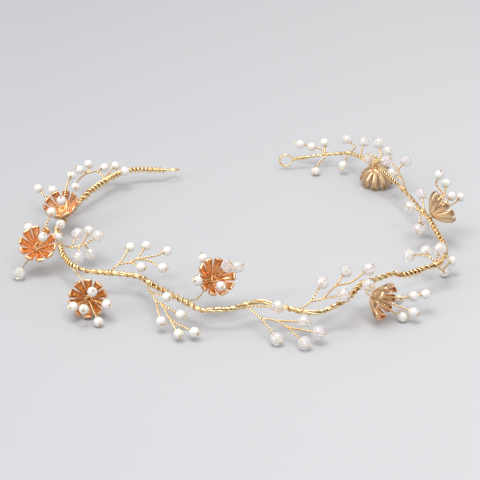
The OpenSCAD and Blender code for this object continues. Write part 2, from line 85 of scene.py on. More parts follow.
bpy.context.scene.view_settings.view_transform = "Standard"
world = bpy.data.worlds.new("studio")
world.use_nodes = True
bpy.context.scene.world = world
sky = world.node_tree.nodes["Background"]
direction = world.node_tree.nodes.new("ShaderNodeTexCoord")
height = world.node_tree.nodes.new("ShaderNodeSeparateXYZ")
shades = world.node_tree.nodes.new("ShaderNodeValToRGB")
for place, shade in ((0.0, 0.14), (0.14, 0.18), (0.34, 0.95), (1.0, 1.0)):
    stop = shades.color_ramp.elements[0] if place == 0 else shades.color_ramp.elements.new(place)
    stop.position = place
    stop.color = (shade, shade, shade * 1.02, 1)
shades.color_ramp.elements.remove(shades.color_ramp.elements[-1])
world.node_tree.links.new(direction.outputs["Generated"], height.inputs[0])
world.node_tree.links.new(height.outputs["Z"], shades.inputs["Fac"])
world.node_tree.links.new(shades.outputs["Color"], sky.inputs["Color"])
sky.inputs["Strength"].default_value = 0.82


def lamp(name, spot, wide, power):
    """Square lamp that faces the middle of the table."""
    light = bpy.data.objects.new(name, bpy.data.lights.new(name, "AREA"))
    light.data.size = wide
    light.data.energy = power
    light.location = spot
    light.rotation_euler = (table_middle - Vector(spot)).to_track_quat("-Z", "Y").to_euler()
    bpy.context.scene.collection.objects.link(light)


lamp("softbox", (-0.12, -0.12, 1.0), 0.6, 5.2)
lamp("side_card", (-0.9, -0.5, 0.55), 0.35, 2.2)
lamp("front_spark", (0.35, -0.75, 0.95), 0.12, 1.6)

# Stem. Four soft gold wires laid side by side with a slow twist, thinner towards
# both ends. The bends run from the left end round the front to the right end.
stem_d = 2.2
part_shift = (-1.5, 6.1)
# X, Y and Z in millimetres on the photo's table, and the share of the full thickness
bends = [
    (-34, 63, 5.5, 0.7), (-47.5, 61, 6.5, 0.85), (-54, 56, 7, 0.92), (-61, 45, 7, 0.95),
    (-66, 36, 6.5, 0.95), (-68.5, 31, 5.5, 0.95), (-72, 26.5, 3.5, 0.95), (-76, 13.5, 3.5, 0.95),
    (-77, -3, 6, 0.95), (-74, -25, 9, 1), (-71, -37.5, 9.5, 1), (-67, -45, 9.5, 1),
    (-61, -48.5, 9, 1), (-54, -50, 9, 1), (-40.5, -53.5, 9, 1), (-35, -60.5, 9, 1),
    (-24, -73, 9, 1), (-19.5, -78, 9, 1), (-14.5, -82, 8.5, 1), (-8.5, -82, 8.5, 1),
    (-2, -81.5, 9, 1), (6, -76.5, 9, 1), (11.5, -77, 9, 1), (18.5, -81.5, 9, 1),
    (28, -84.5, 8.5, 1), (34, -82.5, 9, 1), (38.5, -80, 10, 1), (43, -75, 11, 1),
    (48, -66.5, 12, 1), (54.5, -62, 12, 1), (60.5, -56.5, 11.5, 1), (65.5, -55.5, 10.5, 1),
    (71, -52, 10.5, 1), (75, -49, 10.5, 1), (79.5, -46.5, 11, 0.95), (82.5, -42, 12, 0.9),
    (83.5, -31.5, 12, 0.9), (81, -14, 12, 0.9), (79.5, -4, 12, 0.9), (77, 6.5, 11, 0.85),
    (73.5, 23.5, 10, 0.85), (69.5, 33.5, 11, 0.85), (63, 44, 13, 0.8), (58, 54.5, 12.5, 0.8),
    (55, 67, 10, 0.75), (50, 76, 8.5, 0.7), (45, 80, 6.5, 0.65), (37.5, 79.5, 6, 0.6),
    (24.5, 77, 5, 0.55),
]


def between(rows, t):
    """Row at place t of a table, on a smooth curve through its rows."""
    i = min(int(floor(t)), len(rows) - 2)
    f = t - i
    a, b, c, d = (rows[min(max(j, 0), len(rows) - 1)] for j in range(i - 1, i + 3))
    return [0.5 * (2 * q + (r - p) * f + (2 * p - 5 * q + 4 * r - s) * f * f
                   + (3 * q - p - 3 * r + s) * f ** 3) for p, q, r, s in zip(a, b, c, d)]


def placed(x, y, z):
    """Place in the part's own frame, from a place on the photo's table."""
    return Vector((x + part_shift[0], y + part_shift[1], z))


def stem_spot(s):
    """Middle and radius of the stem at bend s."""
    x, y, z, share = between(bends, min(max(s, 0), len(bends) - 1))
    return placed(x, y, z), share * stem_d / 2


def stem_way(s):
    """Direction of the stem at bend s."""
    return (stem_spot(min(s + 0.05, len(bends) - 1))[0] - stem_spot(max(s - 0.05, 0))[0]).normalized()


def carried(points):
    """Two directions across a line at each of its points, carried along it without twist."""
    across = []
    for i, point in enumerate(points):
        way = (points[min(i + 1, len(points) - 1)] - points[max(i - 1, 0)]).normalized()
        if i == 0:
            side = way.cross(Vector((0, 0, 1)))
            side = side.normalized() if side.length > 0.2 else way.orthogonal().normalized()
        else:
            side = (side - way * side.dot(way)).normalized()
        across.append((side, way.cross(side)))
    return across


def crowd(run):
    """Search tree of a run's places, with its radii."""
    tree = KDTree(len(run))
    for i, (spot, r) in enumerate(run):
        tree.insert(spot, i)
    tree.balance()
    return tree, [r for spot, r in run]


def shaded_and_soiled(mesh, crevices):
    """Marks how deep each point lies in a crevice, where grime and painted shade darken it: 1 at the near
    and 0 at the far share of a radius.
    """
    grime_and_shade = mesh.attributes.new("grime_and_shade", "FLOAT", "POINT")
    for vert, mark in zip(mesh.vertices, grime_and_shade.data):
        for (tree, radii), near, far in crevices:
            i, away = tree.find(vert.co * 1000)[1:]
            mark.value = max(mark.value, min((far - away / radii[i]) / (far - near), 1))


def drawn(name, runs, node, roundness=1, crevices=()):
    """Wires as one piece. Each run is a list of places and radii in millimetres."""
    curve = bpy.data.curves.new(name, "CURVE")
    curve.dimensions = "3D"
    curve.bevel_depth = 0.001
    curve.bevel_resolution = roundness
    curve.use_fill_caps = True
    for run in runs:
        spline = curve.splines.new("POLY")
        spline.points.add(len(run) - 1)
        for point, (spot, r) in zip(spline.points, run):
            point.co = (*(spot * 0.001), 1)
            point.radius = r
    line = bpy.data.objects.new(name, curve)
    mesh = bpy.data.meshes.new_from_object(line)
    bpy.data.objects.remove(line)
    mesh.name = name
    mesh.materials.clear()
    mesh.materials.append(gold_wire)
    for face in mesh.polygons:
        face.use_smooth = True
    shaded_and_soiled(mesh, crevices)
    piece = bpy.data.objects.new(name, mesh)
    bpy.context.scene.collection.objects.link(piece)
    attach(piece, "root")
    if node:
        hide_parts(node)


def metal(name, colour, dark, shade_and_soil, rough, scale):
    """Plated metal whose tone and polish wander, with faint draw marks, and grime with painted shade in its
    crevices.
    """
    made = bpy.data.materials.new(name)
    made.use_nodes = True
    nodes, links = made.node_tree.nodes, made.node_tree.links
    shader = nodes["Principled BSDF"]
    shader.inputs["Metallic"].default_value = 1
    spot = nodes.new("ShaderNodeTexCoord")
    patches = nodes.new("ShaderNodeTexNoise")
    patches.inputs["Scale"].default_value = scale
    patches.inputs["Detail"].default_value = 3
    tones = nodes.new("ShaderNodeValToRGB")
    tones.color_ramp.elements[0].position = 0.32
    tones.color_ramp.elements[0].color = (*dark, 1)
    tones.color_ramp.elements[1].position = 0.62
    tones.color_ramp.elements[1].color = (*colour, 1)
    polish = nodes.new("ShaderNodeMapRange")
    polish.inputs["To Min"].default_value = rough * 0.75
    polish.inputs["To Max"].default_value = rough * 1.35
    depth = nodes.new("ShaderNodeAttribute")
    depth.attribute_name = "grime_and_shade"
    # Grime and painted shade: the crevice mark mixes the colour towards the dark crevice colour.
    darkened = nodes.new("ShaderNodeMix")
    darkened.data_type = "RGBA"
    darkened.inputs["B"].default_value = (*shade_and_soil, 1)
    marks = nodes.new("ShaderNodeTexNoise")
    marks.inputs["Scale"].default_value = scale * 9
    relief = nodes.new("ShaderNodeBump")
    relief.inputs["Strength"].default_value = 0.12
    relief.inputs["Distance"].default_value = 0.0001
    links.new(spot.outputs["Object"], patches.inputs["Vector"])
    links.new(spot.outputs["Object"], marks.inputs["Vector"])
    links.new(patches.outputs["Fac"], tones.inputs["Fac"])
    links.new(patches.outputs["Fac"], polish.inputs["Value"])
    links.new(marks.outputs["Fac"], relief.inputs["Height"])
    links.new(depth.outputs["Fac"], darkened.inputs["Factor"])
    links.new(tones.outputs["Color"], darkened.inputs["A"])
    links.new(darkened.outputs["Result"], shader.inputs["Base Color"])
    links.new(polish.outputs["Result"], shader.inputs["Roughness"])
    links.new(relief.outputs["Normal"], shader.inputs["Normal"])
    return made


# Its third colour is the grime and painted shade in the crevices between wires.
gold_wire = metal("gold_wire", (1.0, 0.82, 0.49), (1.0, 0.64, 0.30), (0.42, 0.2, 0.07), 0.16, 160)

steps_per_bend = 12
stem_line, stem_run, walked = [], [], 0
for n in range((len(bends) - 1) * steps_per_bend + 1):
    spot, r = stem_spot(n / steps_per_bend)
    if stem_line:
        walked += (spot - stem_line[-1][0]).length
    stem_line.append((spot, r))
    stem_run.append(walked)
stem_across = carried([spot for spot, r in stem_line])


def stem_frame(s):
    """Middle, radius and the two directions across the stem at bend s."""
    n = min(max(s, 0), len(bends) - 1) * steps_per_bend
    i = min(int(n), len(stem_line) - 2)
    f = n - i
    spot = stem_line[i][0].lerp(stem_line[i + 1][0], f)
    r = stem_line[i][1] * (1 - f) + stem_line[i + 1][1] * f
    side = stem_across[i][0].lerp(stem_across[i + 1][0], f).normalized()
    up = stem_across[i][1].lerp(stem_across[i + 1][1], f).normalized()
    return spot, r, side, up


def bend_at(far):
    """Bend that lies a length of stem away from the left end."""
    i = min(max(bisect(stem_run, far), 1), len(stem_run) - 1)
    return (i - 1 + (far - stem_run[i - 1]) / (stem_run[i] - stem_run[i - 1])) / steps_per_bend


# Wrap of the stem. Thin gold wire binds the four strands in open turns and pinches them,
# and thick wire lies in tight coils where sprigs are fixed. The ends are tucked under.
# From and to bend, turn and wire radius in millimetres, and how far out the strands reach there
wraps = [
    (0.05, 1.3, 1.8, 0.58, 0.5), (1.2, 2.6, 2.0, 0.6, 0.5), (2.6, 3.9, 2.5, 0.58, 0.72),
    (3.9, 5.2, 2.9, 0.5, 0.88), (5.2, 8.6, 3.2, 0.42, 0.9), (8.5, 10.1, 3.0, 0.58, 0.38),
    (10.1, 11.5, 1.7, 0.48, 0.6), (11.4, 12.2, 3.5, 0.42, 0.75), (12.2, 20.2, 3.1, 0.27, 1),
    (20.2, 22.2, 6.5, 0.2, 1), (22.2, 23.6, 3.0, 0.27, 1), (23.6, 24.9, 6, 0.2, 1),
    (24.9, 30.6, 3.1, 0.27, 1), (30.6, 32.6, 1.9, 0.46, 0.75), (32.6, 37.5, 3.3, 0.26, 1),
    (37.5, 41.1, 5, 0.2, 1), (41.1, 42.2, 1.5, 0.4, 0.5), (42.2, 47.8, 2.6, 0.22, 1),
]
coil_turn, coil_wire_r = 2.4, 0.55
turn_steps, sunk = 18, 0.22


def bundle_r(s):
    """Radius of the four strands together, which is less under thick wire."""
    return min([stem_frame(s)[1] - 0.04] + [row[4] for row in wraps if row[0] <= s <= row[1]])


def wound(s_from, s_to, turn, wire_r, phase=0, proud=0):
    """Run of a wire wound round the stem between two bends, with its ends tucked under."""
    run, a, s = [], phase, s_from
    while s < s_to:
        spot, r, side, up = stem_frame(s)
        pace = (stem_frame(s + 0.02)[0] - spot).length / 0.02
        tucked = max(0, 1 - min(s - s_from, s_to - s) * pace / turn * 4)
        away = bundle_r(s) - sunk + wire_r + proud - 1.6 * wire_r * tucked
        run.append((spot + (side * cos(a) + up * sin(a)) * away, wire_r))
        a += tau / turn_steps
        s += turn / turn_steps / max(pace, 1)
    return run


bindings = []
for k, (s_from, s_to, turn, wire_r, under) in enumerate(wraps):
    bindings.append(wound(s_from, s_to, turn, wire_r, k))
bound = crowd([place for run in bindings for place in run])

strand_step, lay_length, wander, wander_length = 0.35, 34, 0.5, 23
strand_out, strand_share, strand_edge = 1.414, 1.05, 2.4
pinch_reach, pinch_in, pinch_thin = 0.55, 0.3, 0.25
strands = [[] for k in range(4)]
for n in range(int(stem_run[-1] / strand_step) + 1):
    far = n * strand_step
    s = bend_at(far)
    spot, r, side, up = stem_frame(s)
    core = bundle_r(s) / (strand_out + strand_share)
    for k, strand in enumerate(strands):
        a = k * tau / 4 + far / lay_length * tau + wander * sin(far / wander_length + k)
        away = side * cos(a) + up * sin(a)
        pinch = exp(-(bound[0].find(spot + away * core * strand_edge)[2] / pinch_reach) ** 2)
        out = core * (strand_out - pinch_in * pinch)
        strand.append((spot + away * out, core * (strand_share - pinch_thin * pinch)))
middle = crowd(stem_line)
# Grime and painted shade darken the strands under the wraps and between each other, and the wraps where
# they lie on the strands.
drawn("stem_strands", strands, "vine_stem", 2, [(bound, 1.2, 2.1), (middle, 0.45, 0.68)])
coils = [run for run, row in zip(bindings, wraps) if row[2] < coil_turn or row[3] > coil_wire_r]
open_wraps = [run for run in bindings if run not in coils]
drawn("stem_wrap", open_wraps, None, 2, [(middle, 0.8, 0.95)])
drawn("stem_coils", coils, None, 2, [(middle, 0.6, 0.85)])

# End loops. Each end of the stem wire is bent round into an open eye for a pin or
# a ribbon, and its short end is wound back on the stem.
loop_r, loop_wire_r, neck_wire_r = 2.72, 0.46, 0.4
neck_gap, loop_opening, loop_steps = 0.35, 0.35, 13
tie_turn, tie_wire_r = 0.95, 0.3


def end_loop(name, node, middle, tilt_axis, tilt, last_bend, tie_to):
    """Drop-shaped eye from the stem's end round and back to it, tied with a few turns."""
    lay = Matrix.Rotation(tilt, 3, tilt_axis)
    neck = stem_frame(last_bend)[0]
    local = lay.inverted() @ (neck - middle)
    start = atan2(local.y, local.x)
    halves = []
    for side in (1, -1):
        run = [(neck + Vector((0, 0, neck_gap * side)), neck_wire_r)]
        for k in range(1, loop_steps + 1):
            a = start + (loop_opening + (pi - loop_opening) * k / loop_steps) * side
            run.append((middle + lay @ Vector((cos(a), sin(a), 0)) * loop_r, loop_wire_r))
        halves.append(run)
    whole = halves[0] + halves[1][-2::-1]
    smooth = []
    for n in range((len(whole) - 1) * 4 + 1):
        x, y, z, r = between([(*spot, r) for spot, r in whole], n / 4)
        smooth.append((Vector((x, y, z)), r))
    tie = wound(min(last_bend, tie_to), max(last_bend, tie_to), tie_turn, tie_wire_r, 1)
    drawn(name, [smooth, tie], node, 2)


last = len(bends) - 1
end_loop("left_eye", "end_loop_left", placed(-30.6, 64.6, 5), "X", radians(-18), 0, 0.5)
end_loop("right_eye", "end_loop_right", placed(20.9, 76.6, 4.5), "X", radians(90), last, last - 0.5)

# Sprigs. A thin gold wire carries each bead, comes back past it and is twisted with itself
# down to the fork. The foot of the twist is wound round the stem.
BARE, ROUND, CUT = 0, 1, 2
pearl_r, cut_bead_half = 2.0, 2.4
twig_r, flower_twig_r = 0.3, 0.5
strand_r, flower_strand_r, twist_length = 0.23, 0.19, 2.8
line_step, line_pull, bead_past, fork_lap = 0.4, 0.9, 0.25, 1.5
back_wire_r, eyelet_wire_r, foot_wire_r = 0.14, 0.15, 0.2
foot_turn, foot_half, foot_proud = 0.62, 1.1, 0.18
# The bend of each sprig and its knots: the knot it comes from, X, Y, Z and what it carries
sprigs = [
    (2.7, [(0, -64, 53.5, 9, BARE), (1, -68, 51.5, 9, BARE), (2, -71.5, 43.5, 9, BARE),
           (2, -68, 57, 11, ROUND), (2, -71.4, 50.5, 11, ROUND), (3, -72, 33.5, 10, ROUND),
           (1, -61, 57.5, 9, ROUND), (0, -56, 58.5, 9.5, ROUND), (0, -55.5, 50.5, 9, BARE),
           (9, -51.5, 53.5, 9, ROUND)]),
    (6, [(0, -79.5, 28, 8, BARE), (1, -85, 26, 9, BARE), (1, -81.8, 30, 10, ROUND),
         (2, -88, 29.5, 11, ROUND)]),
    (9, [(0, -69, -29, 10, BARE), (1, -65.5, -27.5, 10, BARE), (2, -63.5, -25.5, 10, BARE),
         (1, -67, -22, 13, CUT), (2, -62.5, -17, 12, CUT), (3, -58.5, -22, 12, CUT),
         (2, -66, -32.5, 7.4, CUT), (3, -62, -25.5, 5.6, CUT)]),
    (13.2, [(0, -49, -47.5, 11, BARE), (1, -44.4, -37, 14, ROUND), (1, -43.5, -46.5, 12, BARE),
            (3, -41.5, -44, 12, BARE), (4, -38, -36.5, 14.5, ROUND), (4, -33.5, -40.5, 12, BARE),
            (6, -29.6, -36.5, 12, ROUND), (4, -36.5, -43.5, 11, BARE), (8, -31, -48, 10, ROUND),
            (3, -39.5, -50.5, 11.5, ROUND)]),
    (14.9, [(0, -35.5, -66, 8.5, BARE), (1, -33, -72.5, 8, BARE), (2, -32, -76.5, 6.5, BARE),
            (3, -30.5, -84, 4.5, ROUND), (2, -30.5, -75, 7.5, BARE), (5, -27, -83, 5, BARE),
            (6, -23.5, -91.5, 3, ROUND), (6, -17.5, -91, 3.5, ROUND), (5, -23, -81.5, 6, ROUND),
            (1, -28.5, -74, 10, ROUND)]),
    (20.5, [(0, 8, -87, 7.5, BARE), (1, 14, -95, 2.8, CUT), (1, 14, -88, 7, BARE), (3, 18, -91.5, 6, BARE),
            (4, 24.5, -98.5, 2.8, CUT), (4, 30, -93.5, 4.5, CUT), (3, 24.5, -87.5, 6, CUT),
            (0, 14.5, -83.5, 10.5, CUT)]),
    (23.5, [(0, 27.5, -78.5, 10.5, BARE), (1, 32, -73.5, 16, CUT), (1, 32, -77.5, 11, BARE),
            (3, 35, -74, 12.5, BARE), (4, 37.5, -71.5, 14, BARE), (5, 41.5, -65.5, 17, CUT),
            (5, 43, -70.5, 14.5, BARE), (7, 50.5, -64.5, 17.5, CUT), (3, 40, -81, 14.5, CUT)]),
    (34, [(0, 81.5, -43, 6.5, BARE), (1, 83.5, -35.5, 2, ROUND), (1, 86.5, -34, 6.5, ROUND),
          (0, 80.5, -43.5, 16.5, CUT), (0, 76, -42, 12.5, BARE), (5, 75.5, -36.5, 12, CUT),
          (5, 69, -34, 9, CUT)]),
    (38.8, [(0, 76, -1, 8.5, BARE), (1, 74.5, -9, 9, CUT), (1, 78.5, 3, 5, CUT), (0, 78, 13, 15.5, CUT),
            (0, 72, 3, 14, CUT)]),
    (40.6, [(0, 71.5, 40, 11, BARE), (1, 70, 48, 12, BARE), (2, 67.5, 52.5, 14, BARE), (2, 74, 53, 14, CUT),
            (3, 66, 60, 16, CUT), (1, 67.5, 44, 12, CUT)]),
    (46.8, [(0, 37, 82.5, 8, BARE), (1, 33, 83.5, 8.5, ROUND), (2, 27.8, 84.8, 9.2, ROUND),
            (0, 39, 85, 10, ROUND), (0, 36, 74, 4, BARE), (5, 34.5, 70, 2, ROUND)]),
    (45, [(0, 47, 71, 4.5, ROUND), (0, 53, 81, 9.5, BARE), (2, 49.5, 86, 11, CUT)]),
]


class Knot:
    """One knot: where its wire starts and ends, its way there, and what it carries."""

    def __init__(self, made, row, s):
        self.carries = row[4]
        self.wire = row[5] if len(row) > 5 else twig_r
        self.spot = placed(*row[1:4])
        self.before = made[row[0] - 1] if row[0] else None
        self.after = []
        if self.before:
            self.before.after.append(self)
            self.start = self.before.end
        else:
            middle, r = stem_spot(s)
            way = self.spot - middle
            across = (way - stem_way(s) * way.dot(stem_way(s))).normalized()
            self.start = middle + across * (r + 0.15 + self.wire)
        self.way = (self.spot - self.start).normalized()
        self.half = pearl_r if self.carries == ROUND else cut_bead_half
        self.end = self.spot + self.way * (self.half + 0.65) if self.carries else self.spot


def knots_of(s, rows):
    """Knots of a sprig's or flower's table, whose wire starts at bend s."""
    made = []
    for row in rows:
        made.append(Knot(made, row, s))
    return made


def chains(knots):
    """Splits a sprig into unbroken wires, each going on along its straightest way."""
    out = []
    todo = [(None, knot) for knot in knots if not knot.before]
    while todo:
        fork, knot = todo.pop(0)
        chain = [knot]
        while chain[-1].after:
            last = chain[-1]
            onward = max(last.after, key=lambda k: k.way.dot(last.way))
            todo += [(last, other) for other in last.after if other is not onward]
            chain.append(onward)
        out.append((fork, chain))
    return out


def centre_line(fork, chain):
    """Smooth middle line of one twisted wire, which starts a little below its fork."""
    marks = []
    if fork and not fork.carries:
        marks.append((fork.spot - fork.way * fork_lap, fork.way))
    else:
        marks.append((chain[0].start, chain[0].way))
    for i, knot in enumerate(chain):
        if knot.carries:
            marks.append((knot.spot - knot.way * (knot.half + bead_past), knot.way))
            marks.append((knot.spot + knot.way * (knot.half + bead_past), knot.way))
        else:
            onward = chain[i + 1].way if i + 1 < len(chain) else knot.way
            marks.append((knot.spot, (knot.way + onward).normalized()))
    line = []
    for (p, u), (q, v) in zip(marks, marks[1:]):
        far = (q - p).length
        count = max(int(ceil(far / line_step)), 2)
        for n in range(count):
            t = n / count
            line.append(p * (2 * t ** 3 - 3 * t * t + 1) + u * far * line_pull * (t ** 3 - 2 * t * t + t)
                        + q * (3 * t * t - 2 * t ** 3) + v * far * line_pull * (t ** 3 - t * t))
    line.append(marks[-1][0])
    return line


def twisted(line, wire_r, turn, phase):
    """Two wires of one radius twisted round a line."""
    across = carried(line)
    pair = []
    for k in (0, 1):
        run, far = [], 0
        for i, spot in enumerate(line):
            if i:
                far += (spot - line[i - 1]).length
            a = phase + k * pi + far / turn * tau
            side, up = across[i]
            run.append((spot + (side * cos(a) + up * sin(a)) * wire_r, wire_r))
        pair.append(run)
    return pair


def way_back(knot, wire_r):
    """The wire's way back round the far side of its pearl."""
    away = Vector((0.15, 1, 0.25)) if knot.spot.z > 3 else Vector((0.1, 0.5, 1))
    away = away - knot.way * away.dot(knot.way)
    away = away.normalized() if away.length > 0.15 else knot.way.orthogonal().normalized()
    clear_r = pearl_r + wire_r + 0.05
    run = []
    for n in range(17):
        a = pi * n / 16
        run.append((knot.spot + knot.way * (knot.half + 0.4) * cos(a)
                    + away * clear_r * sin(a) ** 0.8, wire_r))
    return run


def eyelet(knot, wire_r):
    """Small bend of wire that shows at the far mouth of a bead's hole."""
    bend_r = 0.22
    tip = knot.spot + knot.way * (knot.half + 0.1)
    side = knot.way.orthogonal().normalized()
    run = []
    for n in range(11):
        a = -0.25 * pi + 1.5 * pi * n / 10
        run.append((tip + side * cos(a) * bend_r + knot.way * (0.15 + bend_r * sin(a)), wire_r))
    return run


def grown(name, node, s, rows, seed):
    """All the twisted wire of one sprig or flower."""
    knots = knots_of(s, rows)
    rand = Random(seed)
    runs, lines = [], []
    for fork, chain in chains(knots):
        wire_r = flower_strand_r if any(knot.wire == flower_twig_r for knot in chain) else strand_r
        line = centre_line(fork, chain)
        lines += [(spot, wire_r) for spot in line]
        runs += twisted(line, wire_r, twist_length, rand.uniform(0, tau))
        for knot in chain:
            if knot.carries == ROUND:
                runs.append(way_back(knot, back_wire_r))
            if knot.carries and not knot.after:
                runs.append(eyelet(knot, eyelet_wire_r))
        if not fork:
            pace = (stem_frame(s + 0.1)[0] - stem_frame(s - 0.1)[0]).length / 0.2
            foot = s + rand.uniform(-0.6, 0.6) / max(pace, 1)
            half = foot_half / max(pace, 1)
            runs.append(wound(max(foot - half, 0), foot + half, foot_turn, foot_wire_r,
                              rand.uniform(0, tau), foot_proud))
    # Grime and painted shade darken the twisted wires where they touch.
    drawn(name, runs, node, 1, [(crowd(lines), 0.6, 1.5)])


for i, (s, rows) in enumerate(sprigs, 1):
    grown(f"sprig_{i}_twist", f"sprig_{i}_wire", s, rows, i)

# Flower wires. The same wire comes up through the hole of a flower's cup, makes a small
# tangle there and goes on to its pearls and beads. A cup that faces down is tied above too.
# X, Y, Z of its hole, heading, rise and turn of its cup; bend, places on the way and knots
flowers = [
    ((-75.4, 12, 6.8, -115, 66, 10), 6.9, [], [
        (2, -75, 13, 15, BARE), (3, -74, 19.5, 18, BARE), (4, -73, 26.3, 18.5, ROUND),
        (2, -76, 7.5, 15, ROUND), (0, -74.3, 4, 6.2, BARE), (7, -75.4, -5.9, 10, ROUND)]),
    ((-83, -27.5, 9, -84, 43, 4), 8.8, [], [
        (2, -80, -33.5, 17, ROUND), (2, -81.5, -30, 15.5, BARE), (4, -78.5, -26.5, 21, BARE),
        (5, -77.5, -20, 22, ROUND), (1, -87, -22.5, 16, ROUND), (1, -75, -25, 12.8, ROUND),
        (1, -87.5, -31, 4.5, BARE), (9, -90, -38, 2.8, CUT)]),
    ((-59.5, -65.5, 5.2, -90, 25, 0), 11.2, [(-63, -54, 8)], [
        (2, -57.5, -73.5, 12, ROUND), (2, -60.5, -79.5, 7.5, ROUND), (2, -65, -75.5, 6.5, ROUND),
        (2, -52, -74.5, 7, ROUND), (2, -55, -79.5, 2, ROUND)]),
    ((-11, -63.5, 12, -68, 38, 12), 16.6, [(-16.5, -72, 8.5)], [
        (2, -16.5, -75, 17.5, ROUND), (2, -7.5, -71.5, 13.5, ROUND), (2, -4.8, -70, 21.6, CUT),
        (1, -14.5, -59, 19.5, ROUND), (1, -1, -60, 16, CUT)]),
    ((51.5, -72.5, 9.5, -33, -8, 6), 28, [(49, -70, 11)], [
        (2, 58.5, -72, 9, BARE), (3, 64, -71, 8, BARE), (4, 68, -69.5, 8, ROUND), (5, 73, -67.6, 8, ROUND),
        (2, 64, -75, 5.5, BARE), (7, 67.5, -76.5, 4.5, ROUND), (2, 60, -74.5, 3.5, BARE),
        (9, 63.5, -75.5, 2, ROUND), (4, 62.5, -67.5, 5.5, ROUND), (0, 50, -74, 15, CUT)]),
    ((80.6, -6, 14.3, 27, 26, 16), 38, [], [
        (2, 86.5, 3.5, 19.5, BARE), (3, 83, 7, 23, BARE), (4, 84, 5, 28, ROUND), (3, 87.5, 9.5, 22, ROUND),
        (2, 89.5, 4, 18.5, ROUND), (2, 91, 2, 16.5, BARE), (8, 93.5, 6.5, 17, ROUND)]),
    ((61.3, 56.5, 9.3, 75, -68, 0), 42.6, [], [
        (0, 57.6, 49, 17, CUT), (0, 63, 54.5, 16, BARE), (4, 62, 61, 19.5, CUT), (0, 54.5, 58, 15, BARE),
        (6, 56, 67, 17.5, CUT), (0, 65, 47.5, 17, CUT)]),
]


tangle_wire_r = 0.2


def facing(heading, rise):
    """Direction that a cup opens to."""
    heading, rise = radians(heading), radians(rise)
    return Vector((cos(rise) * cos(heading), cos(rise) * sin(heading), sin(rise)))


def flower_rows(flower, via, rest):
    """Knots of a flower's wire: the way there, behind the hole, in front, then the rest."""
    x, y, z, heading, rise, turn = flower
    reach = facing(heading, rise) * 1.5
    before = len(via)
    rows = [(0, *spot, BARE, flower_twig_r) for spot in via]
    rows.append((before, x - reach.x, y - reach.y, z - reach.z, BARE, flower_twig_r))
    rows.append((before + 1, x + reach.x, y + reach.y, z + reach.z, BARE, flower_twig_r))
    return rows + [(row[0] + before if row[0] else 0, *row[1:]) for row in rest]


def tangle(foot, way, seed, turns, reach, wide):
    """Loose turns of wire about a spot, up to reach from it along way."""
    rand = Random(seed)
    runs = []
    for n in range(turns):
        stray = Vector([rand.uniform(-1, 1) for axis in range(3)])
        lean = (way + stray * 0.45).normalized()
        side = lean.orthogonal().normalized()
        up = lean.cross(side)
        middle = foot + way * rand.uniform(1.3, reach)
        turn_r = rand.uniform(0.55, 1) * wide
        begin = rand.uniform(0, tau)
        run = []
        for k in range(rand.randint(11, 19)):
            a = begin + k * tau / 14
            spot = middle + (side * cos(a) + up * sin(a)) * turn_r + lean * k * 0.06
            run.append((spot, tangle_wire_r))
        runs.append(run)
    return runs


for i, (flower, s, via, rest) in enumerate(flowers, 1):
    rows = flower_rows(flower, via, rest)
    grown(f"flower_{i}_twist", f"flower_{i}_wire", s, rows, 20 + i)
    heading, rise, turn = flower[3:]
    way = facing(heading, rise)
    loose = tangle(placed(*flower[:3]), way, 40 + i, turns=5, reach=3.2, wide=1.6)
    if rise < -45:
        loose += tangle(stem_frame(s)[0] - way, -way, 60 + i, turns=9, reach=3.4, wide=2.3)
    drawn(f"flower_{i}_tangle", loose, None)

# Flower cups. Each is stamped from thin sheet into ten trough petals with curled tips, and
# plated rose gold: glossy copper inside and at the tips, and matt behind. The rims are painted
# pale as a highlight, and painted shade darkens the curled tips, the wall creases and the hole.
petals, sheet_t, cup_lift = 10, 0.4, 0.06
trough_rows, tip_r, rim_from, tip_from = 6, 7.0, 0.75, 0.5
# Material slots of the faces of a petal, each with that of its back after it
INSIDE, RIM, TIP = 0, 2, 4
# Radius, height, share of the room that the petal fills, rise of its sides, and painted shade
petal_rows = [
    (0.8, 0, 1, 0, 0.5), (2.0, 0.35, 1, 0.15, 0.2), (3.0, 0.9, 0.95, 0.5, 0.1), (4.2, 1.85, 0.87, 0.8, 0),
    (5.5, 3.0, 0.82, 0.95, 0), (6.5, 4.1, 0.79, 1.0, 0.1), (7.2, 5.1, 0.78, 0.9, 0.5),
    (7.4, 5.8, 0.78, 0.6, 0.9), (7.42, 6.25, 0.7, 0.35, 0.4), (7.3, 6.55, 0.62, 0.15, 0),
    (7.05, 6.62, 0.55, 0.05, 0), (6.85, 6.5, 0.5, 0, 0.5),
]
# From a petal's middle line to its rim: share of the half width, share of the rise, and painted shade in
# the creases
trough = [(0, 0, 0), (0.3, 0.02, 0), (0.58, 0.12, 0.1), (0.76, 0.5, 0.5), (0.87, 0.85, 0.1), (1, 1, 0)]


def petal_spot(t, u):
    """Place and painted shade on a petal, t rows from the hole and u across it from -1 to 1."""
    r, h, fill, rise, shade_and_soil = between(petal_rows, t)
    ahead = between(petal_rows, min(t + 0.05, len(petal_rows) - 1))
    behind = between(petal_rows, max(t - 0.05, 0))
    along = Vector((ahead[0] - behind[0], ahead[1] - behind[1])).normalized()
    wide, high, crease_shade = between(trough, abs(u) * (len(trough) - 1))
    if u < 0:
        wide = -wide
    lift = rise * high
    out = r - along.y * lift
    half = tan(pi / petals) * fill * (out if t < trough_rows else tip_r)
    # Painted shade darkens the pocket of the curled tip, the foot by the hole and the creases at the walls'
    # foot.
    painted_shade = max(shade_and_soil * (1 - 0.8 * abs(u)), crease_shade * min(rise, 1))
    return Vector((out, wide * half, h + along.x * lift)), painted_shade


